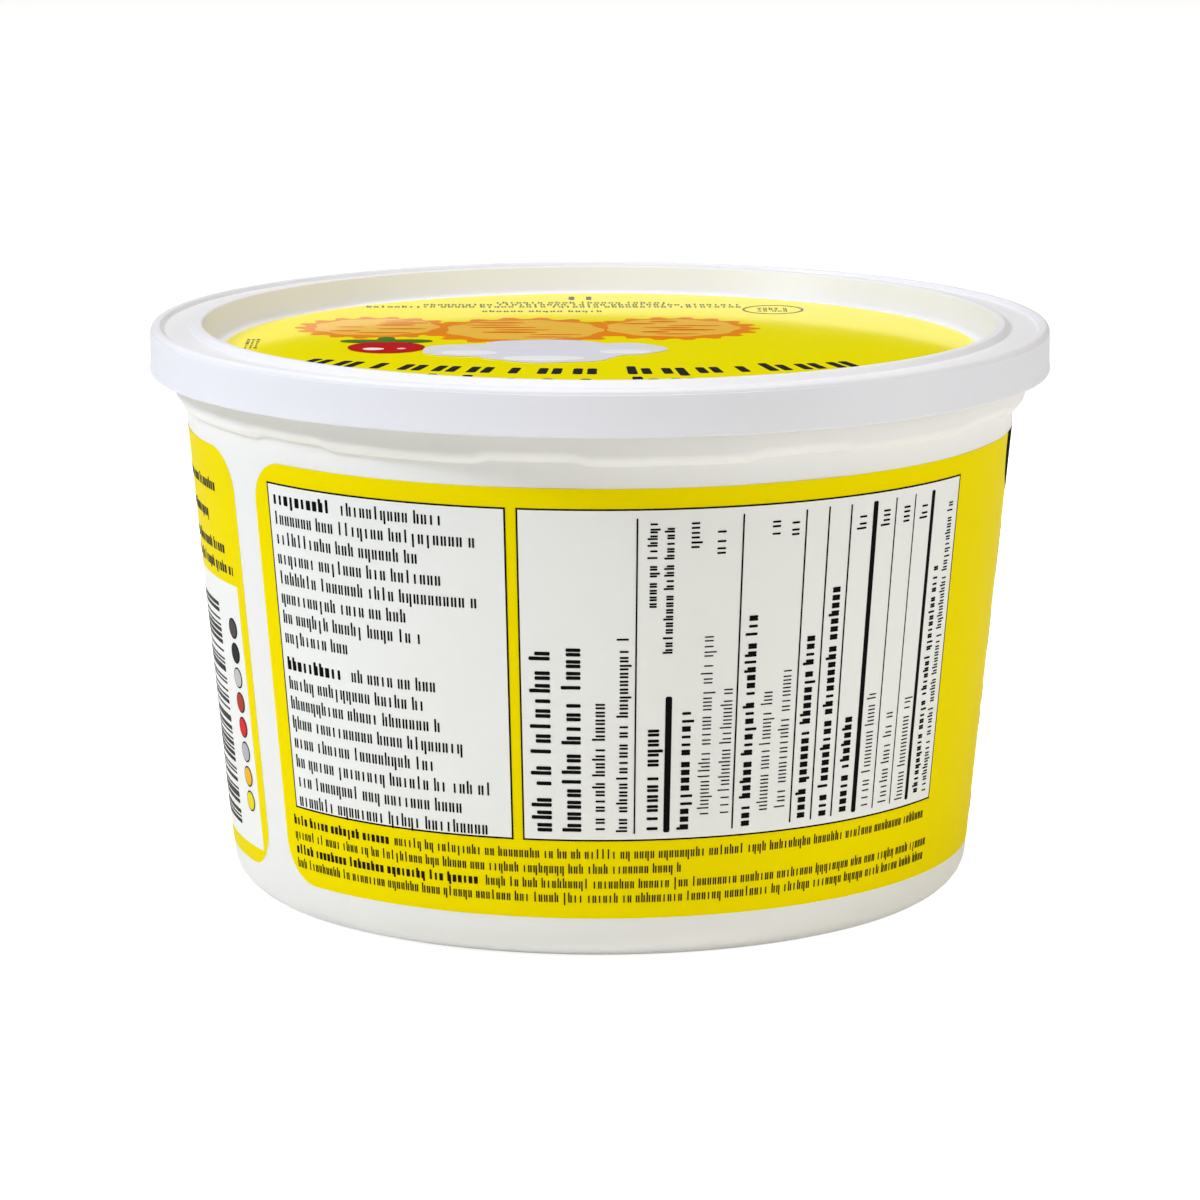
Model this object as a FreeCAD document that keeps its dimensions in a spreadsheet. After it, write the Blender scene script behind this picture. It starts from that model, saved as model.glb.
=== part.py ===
"""Round plastic tub with a press-on lid, for frozen whipped topping.

Millimetres, +Z up.  The origin is the centre of the ring the tub stands on.
Two sub-parts: the tub, shut and full and so solid through, and the lid.
"""

import FreeCAD, Part
import math
import os

from FreeCAD import Placement, Rotation, Vector

import Sketcher

SIZES = [
    # alias, millimetres unless the note says otherwise, what it is
    ("tub_height", 89.6, "from the table to the flat top of the rim"),
    ("rim_radius", 71.4, "outer radius of the rim that the lid snaps over"),
    ("rim_depth", 2.4, "height of the rim's outer face"),
    ("rim_overhang", 2.45, "how far the rim stands out from the collar"),
    ("rim_undercut", 0.6, "how far the rim's underside drops towards the collar"),
    ("rim_round", 0.5, "rounding of the rim's outer edges"),
    ("collar_height", 10.9, "from the ledge under the collar to the top of the rim"),
    ("collar_draw", 0.15, "how far the collar draws in towards its lower edge"),
    ("collar_round", 1.1, "rounding of the collar's lower edge"),
    ("ledge_width", 1.8, "step from the collar in to the wall"),
    ("ledge_round", 0.3, "rounding where the ledge meets the wall"),
    ("wall_slope", 0.0945, "outward lean of the wall, per millimetre of height"),
    ("base_corner", 5.3, "radius of the rounded bottom corner"),
    ("foot_width", 4.0, "width of the ring that the tub stands on"),
    ("foot_height", 1.2, "height of the ring below the raised bottom"),
    ("foot_slope", 1.0, "run of the sloping side inside the ring"),
    ("lug_count", 10, "number of denesting lugs (a count)"),
    ("lug_angle", 13.0, "arc that one lug takes up (degrees)"),
    ("lug_turn", 9.0, "turn of the first lug from the +X axis (degrees)"),
    ("lug_rise", 0.6, "how far a lug's edge sits above the ledge"),
    ("lug_shelf", 0.4, "width of the shelf left on the wall under a lug"),
    ("lug_chamfer", 1.2, "size of the chamfer on a lug's lower edge"),
    ("lid_wall", 0.9, "thickness of the lid"),
    ("lid_gap", 0.2, "clearance between the rim and the skirt"),
    ("skirt_length", 5.7, "from the top of the rim down to the end of the skirt"),
    ("hem_height", 1.1, "height of the thicker hem at the end of the skirt"),
    ("hem_rise", 0.18, "how far the hem stands out from the skirt"),
    ("snap_depth", 0.5, "how far the snap bead reaches in from the skirt"),
    ("snap_width", 1.3, "height of the snap bead's foot"),
    ("snap_height", 1.3, "from the end of the skirt up to the snap bead"),
    ("brim_width", 4.3, "width of the flat ring between the two beads"),
    ("outer_bead_width", 2.0, "width of the bead along the lid's edge"),
    ("outer_bead_rise", 0.7, "height of that bead above the flat ring"),
    ("outer_bead_lean", 0.45, "run of the bead's inward side"),
    ("outer_bead_round", 0.6, "rounding of the bead's outer edge"),
    ("inner_bead_width", 2.1, "width of the bead around the recess"),
    ("inner_bead_rise", 0.95, "height of that bead above the flat ring"),
    ("inner_bead_lean", 0.95, "run of the bead's outward side"),
    ("inner_bead_round", 0.45, "rounding of the bead's top edges"),
    ("recess_depth", 3.5, "from the flat ring down to the sunken panel"),
    ("recess_lean", 1.7, "run of the recess wall from top to bottom"),
    ("recess_round", 0.5, "rounding where the recess wall meets the panel"),
    ("core_gap", 0.3, "clearance between the full tub and the recess"),
    ("crease_round", 0.25, "small rounding in the creases of the lid"),
]


class Length:
    """A length with its value and the spreadsheet expression that gives it."""

    def __init__(self, value, text):
        self.value = value
        self.text = text

    def __add__(self, other):
        return Length(self.value + other.value, f"({self.text} + {other.text})")

    def __sub__(self, other):
        return Length(self.value - other.value, f"({self.text} - {other.text})")

    def __mul__(self, other):
        return Length(self.value * other.value, f"({self.text} * {other.text})")

    def __truediv__(self, other):
        return Length(self.value / other.value, f"({self.text} / {other.text})")


ON_AXIS = Length(0.0, "0")
TWO = Length(2.0, "2")


def make_sheet(doc):
    """Put every driving size in the spreadsheet, one row each."""
    sheet = doc.addObject("Spreadsheet::Sheet", "Sizes")
    for row, (alias, value, note) in enumerate(SIZES, start=1):
        sheet.set(f"A{row}", alias)
        sheet.set(f"B{row}", str(value))
        sheet.setAlias(f"B{row}", alias)
        sheet.set(f"C{row}", note)
    doc.recompute()
    return sheet


def origin_feature(body, role):
    """The body's own origin plane or axis with this role."""
    return next(item for item in body.Origin.OriginFeatures if item.Role == role)


def make_body(doc, name):
    body = doc.addObject("PartDesign::Body", name)
    body.Label = name
    body.Placement = Placement(Vector(0, 0, 0), Rotation())
    return body


def unit(start, end):
    """Direction from one point to the next, as a vector of length one."""
    step = end - start
    return step / step.Length


def rounding_ends(before, corner, after, radius):
    """Where a rounding of this radius leaves the two sides of a corner."""
    back = unit(corner, before)
    ahead = unit(corner, after)
    half_angle = back.getAngle(ahead) / 2
    setback = radius / math.tan(half_angle)
    middle = unit(Vector(0, 0, 0), back + ahead)
    centre = corner + middle * (radius / math.sin(half_angle))
    return corner + back * setback, corner + ahead * setback, centre


def rounding_arc(start, end, centre, radius):
    """The short arc of a rounding, and whether it runs from end to start."""
    start_angle = math.atan2(start.y - centre.y, start.x - centre.x)
    end_angle = math.atan2(end.y - centre.y, end.x - centre.x)
    turn = (end_angle - start_angle) % (2 * math.pi)
    clockwise = turn > math.pi
    if clockwise:
        start_angle, end_angle = end_angle, start_angle
    circle = Part.Circle(centre, Vector(0, 0, 1), radius)
    return Part.ArcOfCircle(circle, start_angle, end_angle), clockwise


def bind(sketch, constraint, text):
    """Add a driving constraint and tie it to the spreadsheet."""
    number = sketch.addConstraint(constraint)
    sketch.setExpression(f"Constraints[{number}]", text)


def draw_outline(sketch, corners):
    """Draw a closed outline through corners given as (radius, height, rounding).

    Each corner is a construction point placed from the spreadsheet.  The sides
    pass through those points, and a rounding is an arc tangent to two sides.
    """
    points = [Vector(across.value, up.value, 0) for across, up, rounding in corners]
    count = len(corners)
    leave = list(points)
    arrive = list(points)
    arcs = {}
    for index, (across, up, rounding) in enumerate(corners):
        if rounding is None:
            continue
        before = points[index - 1]
        after = points[(index + 1) % count]
        ends = rounding_ends(before, points[index], after, rounding.value)
        arrive[index], leave[index], centre = ends
        arcs[index] = rounding_arc(arrive[index], leave[index], centre, rounding.value)

    marks = []
    for index, (across, up, rounding) in enumerate(corners):
        mark = sketch.addGeometry(Part.Point(points[index]), True)
        marks.append(mark)
        for kind, size in (("DistanceX", across), ("DistanceY", up)):
            if size is ON_AXIS:
                axis = -2 if kind == "DistanceX" else -1
                sketch.addConstraint(Sketcher.Constraint("PointOnObject", mark, 1, axis))
            else:
                place = Sketcher.Constraint(kind, -1, 1, mark, 1, size.value)
                bind(sketch, place, size.text)

    sides = []
    for index in range(count):
        following = (index + 1) % count
        side = Part.LineSegment(leave[index], arrive[following])
        sides.append(sketch.addGeometry(side, False))
    for index in range(count):
        for mark in (marks[index], marks[(index + 1) % count]):
            sketch.addConstraint(Sketcher.Constraint("PointOnObject", mark, 1, sides[index]))

    for index, (across, up, rounding) in enumerate(corners):
        before = sides[index - 1]
        after = sides[index]
        if rounding is None:
            sketch.addConstraint(Sketcher.Constraint("Coincident", before, 2, after, 1))
            continue
        arc, clockwise = arcs[index]
        curve = sketch.addGeometry(arc, False)
        first, last = (2, 1) if clockwise else (1, 2)
        sketch.addConstraint(Sketcher.Constraint("Tangent", before, 2, curve, first))
        sketch.addConstraint(Sketcher.Constraint("Tangent", curve, last, after, 1))
        bind(sketch, Sketcher.Constraint("Radius", curve, rounding.value), rounding.text)


def make_sketch(body, name, corners):
    """An outline on the body's XZ plane: sketch X is the radius, Y the height."""
    sketch = body.newObject("Sketcher::SketchObject", name)
    sketch.AttachmentSupport = (origin_feature(body, "XZ_Plane"), [""])
    sketch.MapMode = "FlatFace"
    draw_outline(sketch, corners)
    return sketch


def revolve(doc, body, name, corners):
    """Turn an outline all the way round the upright axis."""
    sketch = make_sketch(body, name + "_outline", corners)
    turn = body.newObject("PartDesign::Revolution", name)
    turn.Profile = sketch
    turn.ReferenceAxis = (sketch, ["V_Axis"])
    turn.Angle = 360.0
    doc.recompute()
    return turn


doc = FreeCAD.newDocument("topping_tub")
sheet = make_sheet(doc)
size = {alias: Length(float(sheet.get(alias)), f"Sizes.{alias}") for alias, value, note in SIZES}

# Tub: radii and heights that follow from the rim, shared with the lid.
tub_top = size["tub_height"]
rim_radius = size["rim_radius"]
collar_radius = rim_radius - size["rim_overhang"]
collar_foot_radius = collar_radius - size["collar_draw"]
wall_top_radius = collar_foot_radius - size["ledge_width"]
ledge_height = tub_top - size["collar_height"]
wall_foot_radius = wall_top_radius - size["wall_slope"] * ledge_height
foot_inner_radius = wall_foot_radius - size["base_corner"] - size["foot_width"]
rim_lower_edge = tub_top - size["rim_depth"]

# Lid: the flat ring rests on the rim, and the skirt hangs outside it.
skirt_inner_radius = rim_radius + size["lid_gap"]
skirt_radius = skirt_inner_radius + size["lid_wall"]
skirt_end = tub_top - size["skirt_length"]
brim_top = tub_top + size["lid_wall"]
outer_bead_top = brim_top + size["outer_bead_rise"]
outer_bead_inner = skirt_radius - size["outer_bead_width"]
brim_inner_radius = outer_bead_inner - size["brim_width"]
inner_bead_top = brim_top + size["inner_bead_rise"]
recess_top_radius = brim_inner_radius - size["inner_bead_width"]
panel_top = brim_top - size["recess_depth"]
panel_underside = panel_top - size["lid_wall"]
panel_radius = recess_top_radius - size["recess_lean"]

# The recess wall leans in by the same run over its height on both faces.
recess_lean_rate = size["recess_lean"] / (inner_bead_top - panel_top)
wall_under_brim = (
    panel_radius + size["lid_wall"] + recess_lean_rate * (tub_top - panel_top)
)
wall_under_panel = (
    panel_radius + size["lid_wall"] - recess_lean_rate * (panel_top - panel_underside)
)

# The tub's top follows the lid's underside at a clearance.
core_top = panel_underside - size["core_gap"]
core_top_radius = wall_under_panel + size["core_gap"]
rim_inner_radius = wall_under_brim + size["core_gap"] + size["core_gap"]

tub = make_body(doc, "tub")
tub_outline = [
    (ON_AXIS, size["foot_height"], None),
    (foot_inner_radius - size["foot_slope"], size["foot_height"], None),
    (foot_inner_radius, ON_AXIS, None),
    (wall_foot_radius, ON_AXIS, size["base_corner"]),
    (wall_top_radius, ledge_height, size["ledge_round"]),
    (collar_foot_radius, ledge_height, size["collar_round"]),
    (collar_radius, rim_lower_edge - size["rim_undercut"], size["ledge_round"]),
    (rim_radius, rim_lower_edge, size["rim_round"]),
    (rim_radius, tub_top, size["rim_round"]),
    (rim_inner_radius, tub_top, None),
    (core_top_radius, core_top, None),
    (ON_AXIS, core_top, None),
]
tub_solid = revolve(doc, tub, "tub_solid", tub_outline)
volume_before_lugs = tub_solid.Shape.Volume

# Denesting lugs: short arcs where the collar's lower edge sits higher, so that
# stacked empty tubs don't wedge together.
cut_margin = size["ledge_width"]
lug_edge = ledge_height + size["lug_rise"]
lug_inner_radius = wall_top_radius + size["lug_shelf"]
lug_chamfer_radius = collar_foot_radius - size["lug_chamfer"] / TWO
lug_outline = [
    (lug_inner_radius, ledge_height - cut_margin, None),
    (collar_radius + cut_margin, ledge_height - cut_margin, None),
    (collar_radius + cut_margin, lug_edge + size["lug_chamfer"] + cut_margin, None),
    (lug_chamfer_radius, lug_edge, None),
    (lug_inner_radius, lug_edge, None),
]
lug_sketch = make_sketch(tub, "lug_outline", lug_outline)
sketch_upright = Vector(0, 1, 0)
lug_sketch.AttachmentOffset = Placement(
    Vector(0, 0, 0), Rotation(sketch_upright, size["lug_turn"].value)
)
lug_sketch.setExpression(".AttachmentOffset.Rotation.Angle", size["lug_turn"].text)
lug_cut = tub.newObject("PartDesign::Groove", "lug_cut")
lug_cut.Profile = lug_sketch
lug_cut.ReferenceAxis = (lug_sketch, ["V_Axis"])
lug_cut.Midplane = True
lug_cut.setExpression("Angle", size["lug_angle"].text)
doc.recompute()
volume_with_one_lug = lug_cut.Shape.Volume

lugs = tub.newObject("PartDesign::PolarPattern", "lugs")
lugs.Originals = [lug_cut]
lugs.Axis = (origin_feature(tub, "Z_Axis"), [""])
lugs.Angle = 360.0
lugs.setExpression("Occurrences", size["lug_count"].text)
tub.Tip = lugs
doc.recompute()

lid = make_body(doc, "lid")
snap_low = skirt_end + size["snap_height"]
snap_high = snap_low + size["snap_width"]
snap_middle = (snap_low + snap_high) / TWO
snap_radius = skirt_inner_radius - size["snap_depth"]
hem_radius = skirt_radius + size["hem_rise"]
hem_top = skirt_end + size["hem_height"]
outer_bead_crest_inner = outer_bead_inner + size["outer_bead_lean"]
inner_bead_crest_outer = brim_inner_radius - size["inner_bead_lean"]
lid_outline = [
    (ON_AXIS, panel_top, None),
    (panel_radius, panel_top, size["recess_round"]),
    (recess_top_radius, inner_bead_top, size["inner_bead_round"]),
    (inner_bead_crest_outer, inner_bead_top, size["inner_bead_round"]),
    (brim_inner_radius, brim_top, size["crease_round"]),
    (outer_bead_inner, brim_top, size["crease_round"]),
    (outer_bead_crest_inner, outer_bead_top, size["crease_round"]),
    (skirt_radius, outer_bead_top, size["outer_bead_round"]),
    (skirt_radius, hem_top + size["hem_rise"], None),
    (hem_radius, hem_top - size["hem_rise"], None),
    (hem_radius, skirt_end, size["crease_round"]),
    (skirt_inner_radius, skirt_end, size["crease_round"]),
    (skirt_inner_radius, snap_low, None),
    (snap_radius, snap_middle, size["crease_round"]),
    (skirt_inner_radius, snap_high, None),
    (skirt_inner_radius, tub_top, None),
    (wall_under_brim, tub_top, None),
    (wall_under_panel, panel_underside, None),
    (ON_AXIS, panel_underside, None),
]
revolve(doc, lid, "lid_shell", lid_outline)

# Nothing is written unless every object and both solids are sound.
for item in doc.Objects:
    if "Invalid" in item.State or "Error" in item.State:
        raise RuntimeError(f"{item.Name} failed: {item.State}")
one_lug = volume_before_lugs - volume_with_one_lug
all_lugs = volume_before_lugs - lugs.Shape.Volume
expected_lugs = one_lug * size["lug_count"].value
if one_lug <= 0 or not math.isclose(all_lugs, expected_lugs, rel_tol=1e-3):
    raise RuntimeError(f"lug cuts are off: one {one_lug}, all {all_lugs}")

os.makedirs("parts", exist_ok=True)
for body in (tub, lid):
    shape = body.Shape
    if shape.isNull() or not shape.isValid() or len(shape.Solids) != 1:
        raise RuntimeError(f"{body.Label} has no sound solid")
    shape.exportStep(f"parts/{body.Label}.step")
    box = shape.BoundBox
    print(f"{body.Label}: {shape.Volume:.0f} mm3, radius {box.XMax:.2f}, "
          f"height {box.ZMin:.2f} to {box.ZMax:.2f}")
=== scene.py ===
import math
import random

import bpy
import numpy as np
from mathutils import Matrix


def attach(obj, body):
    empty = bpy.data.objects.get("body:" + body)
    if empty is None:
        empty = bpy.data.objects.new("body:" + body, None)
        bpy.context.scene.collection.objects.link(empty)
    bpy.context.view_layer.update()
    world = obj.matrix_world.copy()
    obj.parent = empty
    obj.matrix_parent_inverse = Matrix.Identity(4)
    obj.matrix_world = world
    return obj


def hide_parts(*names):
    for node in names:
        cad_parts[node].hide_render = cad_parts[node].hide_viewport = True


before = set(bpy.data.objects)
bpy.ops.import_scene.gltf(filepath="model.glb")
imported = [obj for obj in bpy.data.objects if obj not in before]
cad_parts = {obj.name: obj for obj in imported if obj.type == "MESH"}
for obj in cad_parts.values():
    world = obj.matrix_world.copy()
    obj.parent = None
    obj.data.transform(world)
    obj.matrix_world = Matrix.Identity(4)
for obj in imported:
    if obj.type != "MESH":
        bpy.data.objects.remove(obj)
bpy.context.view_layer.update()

# ---------------------------------------------------------------------------
# The view.
# A long lens from 0.85 m away and a little above the lid, as a packshot is
# taken, so that the sides of the tub stay almost upright.
# ---------------------------------------------------------------------------
LENS_MM = 159.0
SENSOR_MM = 36.0
CAMERA_BACK = 0.8498
CAMERA_HEIGHT = 0.2138
LOOK_DOWN_DEG = 11.235

bpy.ops.object.camera_add(
    location=(0, -CAMERA_BACK, CAMERA_HEIGHT),
    rotation=(math.radians(90 - LOOK_DOWN_DEG), 0, 0),
)
camera = bpy.context.object
camera.name = "view"
camera.data.lens = LENS_MM
camera.data.sensor_width = SENSOR_MM
bpy.context.scene.camera = camera
bpy.context.scene.view_settings.view_transform = "Standard"

# ---------------------------------------------------------------------------
# The studio.
# A small cool softbox high on the left, and wide weak ones overhead, low on
# the right and behind, in a dim room. The floor is a white paper sweep, which
# throws light back up under the lid.
# ---------------------------------------------------------------------------
LAMP_AIM_HEIGHT = 0.045


def colour(code):
    """An sRGB hex code as linear red, green, blue and alpha."""
    parts = [int(code[i : i + 2], 16) / 255 for i in (1, 3, 5)]
    linear = [
        c / 12.92 if c <= 0.04045 else ((c + 0.055) / 1.055) ** 2.4 for c in parts
    ]
    return (*linear, 1.0)


def add_node(tree, kind, inputs=None, **settings):
    """Adds a shader node, with its settings and what its sockets hold or link to."""
    made = tree.nodes.new(kind)
    for name, value in settings.items():
        setattr(made, name, value)
    for socket, value in (inputs or {}).items():
        if isinstance(value, bpy.types.NodeSocket):
            tree.links.new(value, made.inputs[socket])
        else:
            made.inputs[socket].default_value = value
    return made


def aim_lamp(name, turn_deg, rise_deg, distance, width, watts, tint):
    """A square softbox at a turn round the tub and a rise above the floor, facing
    the middle of the tub."""
    turn, rise = math.radians(turn_deg), math.radians(rise_deg)
    place = (
        distance * math.cos(rise) * math.sin(turn),
        -distance * math.cos(rise) * math.cos(turn),
        distance * math.sin(rise) + LAMP_AIM_HEIGHT,
    )
    bpy.ops.object.light_add(
        type="AREA", location=place, rotation=(math.pi / 2 - rise, 0, turn)
    )
    lamp = bpy.context.object
    lamp.name = name
    lamp.data.shape = "SQUARE"
    lamp.data.size = width
    lamp.data.energy = watts
    lamp.data.color = colour(tint)[:3]


# Name, turn from the front and rise in degrees, distance and width in metres,
# watts, tint.
LAMPS = (
    ("key_softbox", -68.5, 38, 1.3, 0.20, 9.2, "#E4ECFF"),
    ("overhead_softbox", -20, 80, 1.4, 0.9, 12.7, "#FFFBF2"),
    ("side_softbox", 66, 14, 1.5, 1.0, 7.8, "#F8F8FF"),
    ("back_softbox", 180, 46, 1.5, 1.0, 3.2, "#FFFDF8"),
)
for lamp in LAMPS:
    aim_lamp(*lamp)

# The room fills the shadows with a dim, slightly warm light. Gloss shows
# almost none of it, and the camera sees it as plain white.
ROOM_LIGHT = 0.10
ROOM_SEEN_IN_GLOSS = 0.01
ROOM_SEEN_BY_CAMERA = 1.0

world = bpy.data.worlds.new("dim_warm_room")
bpy.context.scene.world = world
world.cycles.sampling_method = "NONE"
world.use_nodes = True
tree = world.node_tree
tree.nodes.clear()
ray = add_node(tree, "ShaderNodeLightPath")
fill = add_node(
    tree,
    "ShaderNodeMix",
    {0: ray.outputs["Is Glossy Ray"], 2: ROOM_LIGHT, 3: ROOM_SEEN_IN_GLOSS},
)
level = add_node(
    tree,
    "ShaderNodeMix",
    {0: ray.outputs["Is Camera Ray"], 2: fill.outputs[0], 3: ROOM_SEEN_BY_CAMERA},
)
tint = add_node(
    tree,
    "ShaderNodeMix",
    {0: ray.outputs["Is Camera Ray"], 6: colour("#FFF6EA"), 7: colour("#FFFFFF")},
    data_type="RGBA",
)
room = add_node(
    tree,
    "ShaderNodeBackground",
    {"Color": tint.outputs[2], "Strength": level.outputs[0]},
)
add_node(tree, "ShaderNodeOutputWorld", {"Surface": room.outputs[0]})

# Matt white paper. It has a glow of its own, so that the camera sees it white
# with the tub's shadow left on it. The glow that gloss shows and that falls
# on the tub is much weaker.
FLOOR_SPAN = 24.0
FLOOR_DROP = 0.00005
FLOOR_GLOW = 0.62
FLOOR_GLOW_IN_GLOSS = 0.15
FLOOR_GLOW_ON_TUB = 0.11

bpy.ops.mesh.primitive_plane_add(size=FLOOR_SPAN, location=(0, 0, -FLOOR_DROP))
floor = bpy.context.object
floor.name = "floor"
paper = bpy.data.materials.new("white_paper_sweep")
paper.use_nodes = True
tree = paper.node_tree
tree.nodes.clear()
sheet = add_node(tree, "ShaderNodeBsdfDiffuse", {"Color": colour("#F4F4F2")})
ray = add_node(tree, "ShaderNodeLightPath")
mirrored = add_node(
    tree,
    "ShaderNodeMath",
    {0: ray.outputs["Is Glossy Ray"], 1: ray.outputs["Is Transmission Ray"]},
    operation="MAXIMUM",
)
thrown = add_node(
    tree,
    "ShaderNodeMath",
    {
        0: mirrored.outputs[0],
        1: FLOOR_GLOW_IN_GLOSS - FLOOR_GLOW_ON_TUB,
        2: FLOOR_GLOW_ON_TUB,
    },
    operation="MULTIPLY_ADD",
)
seen = add_node(
    tree,
    "ShaderNodeMath",
    {0: ray.outputs["Is Camera Ray"], 1: FLOOR_GLOW, 2: thrown.outputs[0]},
    operation="MULTIPLY_ADD",
)
glow = add_node(
    tree,
    "ShaderNodeEmission",
    {"Color": colour("#FFFFFF"), "Strength": seen.outputs[0]},
)
lit = add_node(
    tree, "ShaderNodeAddShader", {0: sheet.outputs[0], 1: glow.outputs[0]}
)
add_node(tree, "ShaderNodeOutputMaterial", {"Surface": lit.outputs[0]})
floor.data.materials.append(paper)

# ---------------------------------------------------------------------------
# The tub.
# One injection moulding of white polypropylene: a foot ring, a wall that
# widens upwards, a collar with ten raised lugs at its lower edge that keep
# stacked tubs from jamming, and the rolled rim that the lid snaps over.
# ---------------------------------------------------------------------------
MM = 0.001
TUB_STEPS = 720
FACET_DEG = 12
CREASE_DEG = 40
PICK_REACH = 0.002 * MM
WELD_REACH = 0.0005 * MM

# The wall's radius is its radius at the foot, plus its slope times the height.
WALL_FOOT_RADIUS = 59.563 * MM
WALL_SLOPE = 0.0945
WALL_TOP = 78.7 * MM
LEDGE_FROM = WALL_TOP - 0.3 * MM
LEDGE_TO = WALL_TOP + 3.0 * MM

# Between its lugs the ledge lies lower. A lug's ends slope over LUG_END_DEG.
LUG_COUNT = 10
LUG_FIRST_DEG = -9.0
LUG_HALF_DEG = 6.5
LUG_END_DEG = 2.0
LUG_RISE = 0.62 * MM
LUG_STEPS = 6


def clear_selection():
    """Leaves edit mode and deselects everything, so that an operator touches only
    what comes next."""
    if bpy.context.object and bpy.context.object.mode != "OBJECT":
        bpy.ops.object.mode_set(mode="OBJECT")
    bpy.ops.object.select_all(action="DESELECT")


def take(piece):
    """Makes one piece the only one selected, and the active one."""
    clear_selection()
    bpy.context.view_layer.objects.active = piece
    piece.select_set(True)


def pick_points(piece, wanted):
    """In edit mode, selects just the points whose place passes a test."""
    bpy.ops.object.mode_set(mode="OBJECT")
    mesh = piece.data
    mesh.polygons.foreach_set("select", [False] * len(mesh.polygons))
    mesh.edges.foreach_set("select", [False] * len(mesh.edges))
    places = np.empty(len(mesh.vertices) * 3)
    mesh.vertices.foreach_get("co", places)
    mesh.vertices.foreach_set("select", wanted(*places.reshape(-1, 3).T))
    bpy.ops.object.mode_set(mode="EDIT")
    bpy.ops.mesh.select_mode(type="VERT")


def turn_profile(name, corners, steps):
    """Draws half a section as a line of (radius, height, rounding) corners in mm,
    and spins it round the upright axis."""
    clear_selection()
    first = corners[0]
    bpy.ops.mesh.primitive_plane_add(
        size=MM, location=(first[0] * MM, 0, first[1] * MM)
    )
    piece = bpy.context.object
    piece.name = name
    bpy.ops.object.transform_apply(location=True, rotation=False, scale=False)
    bpy.ops.object.mode_set(mode="EDIT")
    bpy.ops.mesh.select_mode(type="VERT")
    bpy.ops.mesh.select_all(action="SELECT")
    bpy.ops.mesh.merge(type="CENTER")
    for here, there in zip(corners, corners[1:]):
        bpy.ops.mesh.extrude_region_move(
            TRANSFORM_OT_translate={
                "value": (
                    (there[0] - here[0]) * MM,
                    0,
                    (there[1] - here[1]) * MM,
                )
            }
        )
    for before, corner, after in zip(corners, corners[1:], corners[2:]):
        if not corner[2]:
            continue
        way_in = math.atan2(corner[1] - before[1], corner[0] - before[0])
        way_out = math.atan2(after[1] - corner[1], after[0] - corner[0])
        turn = abs((way_out - way_in + math.pi) % (2 * math.pi) - math.pi)
        pick_points(
            piece,
            lambda x, y, z, c=corner: np.hypot(x - c[0] * MM, z - c[1] * MM)
            < PICK_REACH,
        )
        bpy.ops.mesh.bevel(
            offset=corner[2] * MM * math.tan(turn / 2),
            segments=max(2, round(math.degrees(turn) / FACET_DEG)),
            affect="VERTICES",
        )
    bpy.ops.mesh.select_all(action="SELECT")
    bpy.ops.mesh.spin(
        steps=steps, angle=2 * math.pi, center=(0, 0, 0), axis=(0, 0, 1)
    )
    bpy.ops.mesh.select_all(action="SELECT")
    bpy.ops.mesh.remove_doubles(threshold=WELD_REACH)
    bpy.ops.mesh.normals_make_consistent(inside=False)
    bpy.ops.object.mode_set(mode="OBJECT")
    return piece


def finish_shading(piece):
    """Smooth shading that breaks at the sharp creases and keeps flat faces flat."""
    take(piece)
    bpy.ops.object.shade_smooth_by_angle(angle=math.radians(CREASE_DEG))
    bpy.ops.object.modifier_add(type="WEIGHTED_NORMAL")
    piece.modifiers[-1].keep_sharp = True
    bpy.ops.object.modifier_apply(modifier=piece.modifiers[-1].name)


tub = turn_profile(
    "tub_shell",
    [
        (0, 0.85, 0),  # the gate mark, where the plastic was let in
        (1.1, 0.85, 0.2),
        (1.5, 1.2, 0.2),  # the raised bottom
        (29.0, 1.2, 0.3),
        (29.5, 0.8, 0.2),  # a shallow ring on it
        (30.3, 0.8, 0.2),
        (30.8, 1.2, 0.3),
        (49.26, 1.2, 0.4),
        (50.26, 0, 0.4),  # the foot ring
        (59.563, 0, 5.3),  # the rounded base corner
        (67.0, 78.7, 0.2),  # the top of the wall
        (68.78, 79.15, 1.9),  # the ledge
        (68.95, 86.6, 0.3),  # the collar
        (71.4, 87.2, 0.3),  # the rim
        (71.4, 89.6, 0.5),
        (64.89, 89.6, 0.5),
        (63.26, 85.8, 0),  # the recess under the lid's panel
        (0, 85.8, 0),
    ],
    TUB_STEPS,
)


def from_lug_deg(x, y):
    """How far round each point is from the middle of the nearest lug."""
    turn = np.degrees(np.arctan2(x, -y)) - LUG_FIRST_DEG
    spacing = 360 / LUG_COUNT
    return np.abs((turn + spacing / 2) % spacing - spacing / 2)


take(tub)
bpy.ops.object.mode_set(mode="EDIT")
for step in range(LUG_STEPS):
    reach = LUG_HALF_DEG + LUG_END_DEG * (0.5 - (step + 0.5) / LUG_STEPS)
    pick_points(
        tub,
        lambda x, y, z, reach=reach: (z > LEDGE_FROM)
        & (z < LEDGE_TO)
        & (from_lug_deg(x, y) < reach),
    )
    bpy.ops.transform.translate(value=(0, 0, LUG_RISE / LUG_STEPS))
bpy.ops.object.mode_set(mode="OBJECT")
finish_shading(tub)

# Polypropylene, moulded against polished steel: satin, slightly warm white,
# a little see-through, with broad flow marks and a fine orange peel.
FLOW_MARK_MM = 14.0
ORANGE_PEEL_MM = 0.9
ORANGE_PEEL_DEPTH = 0.08 * MM

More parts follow.
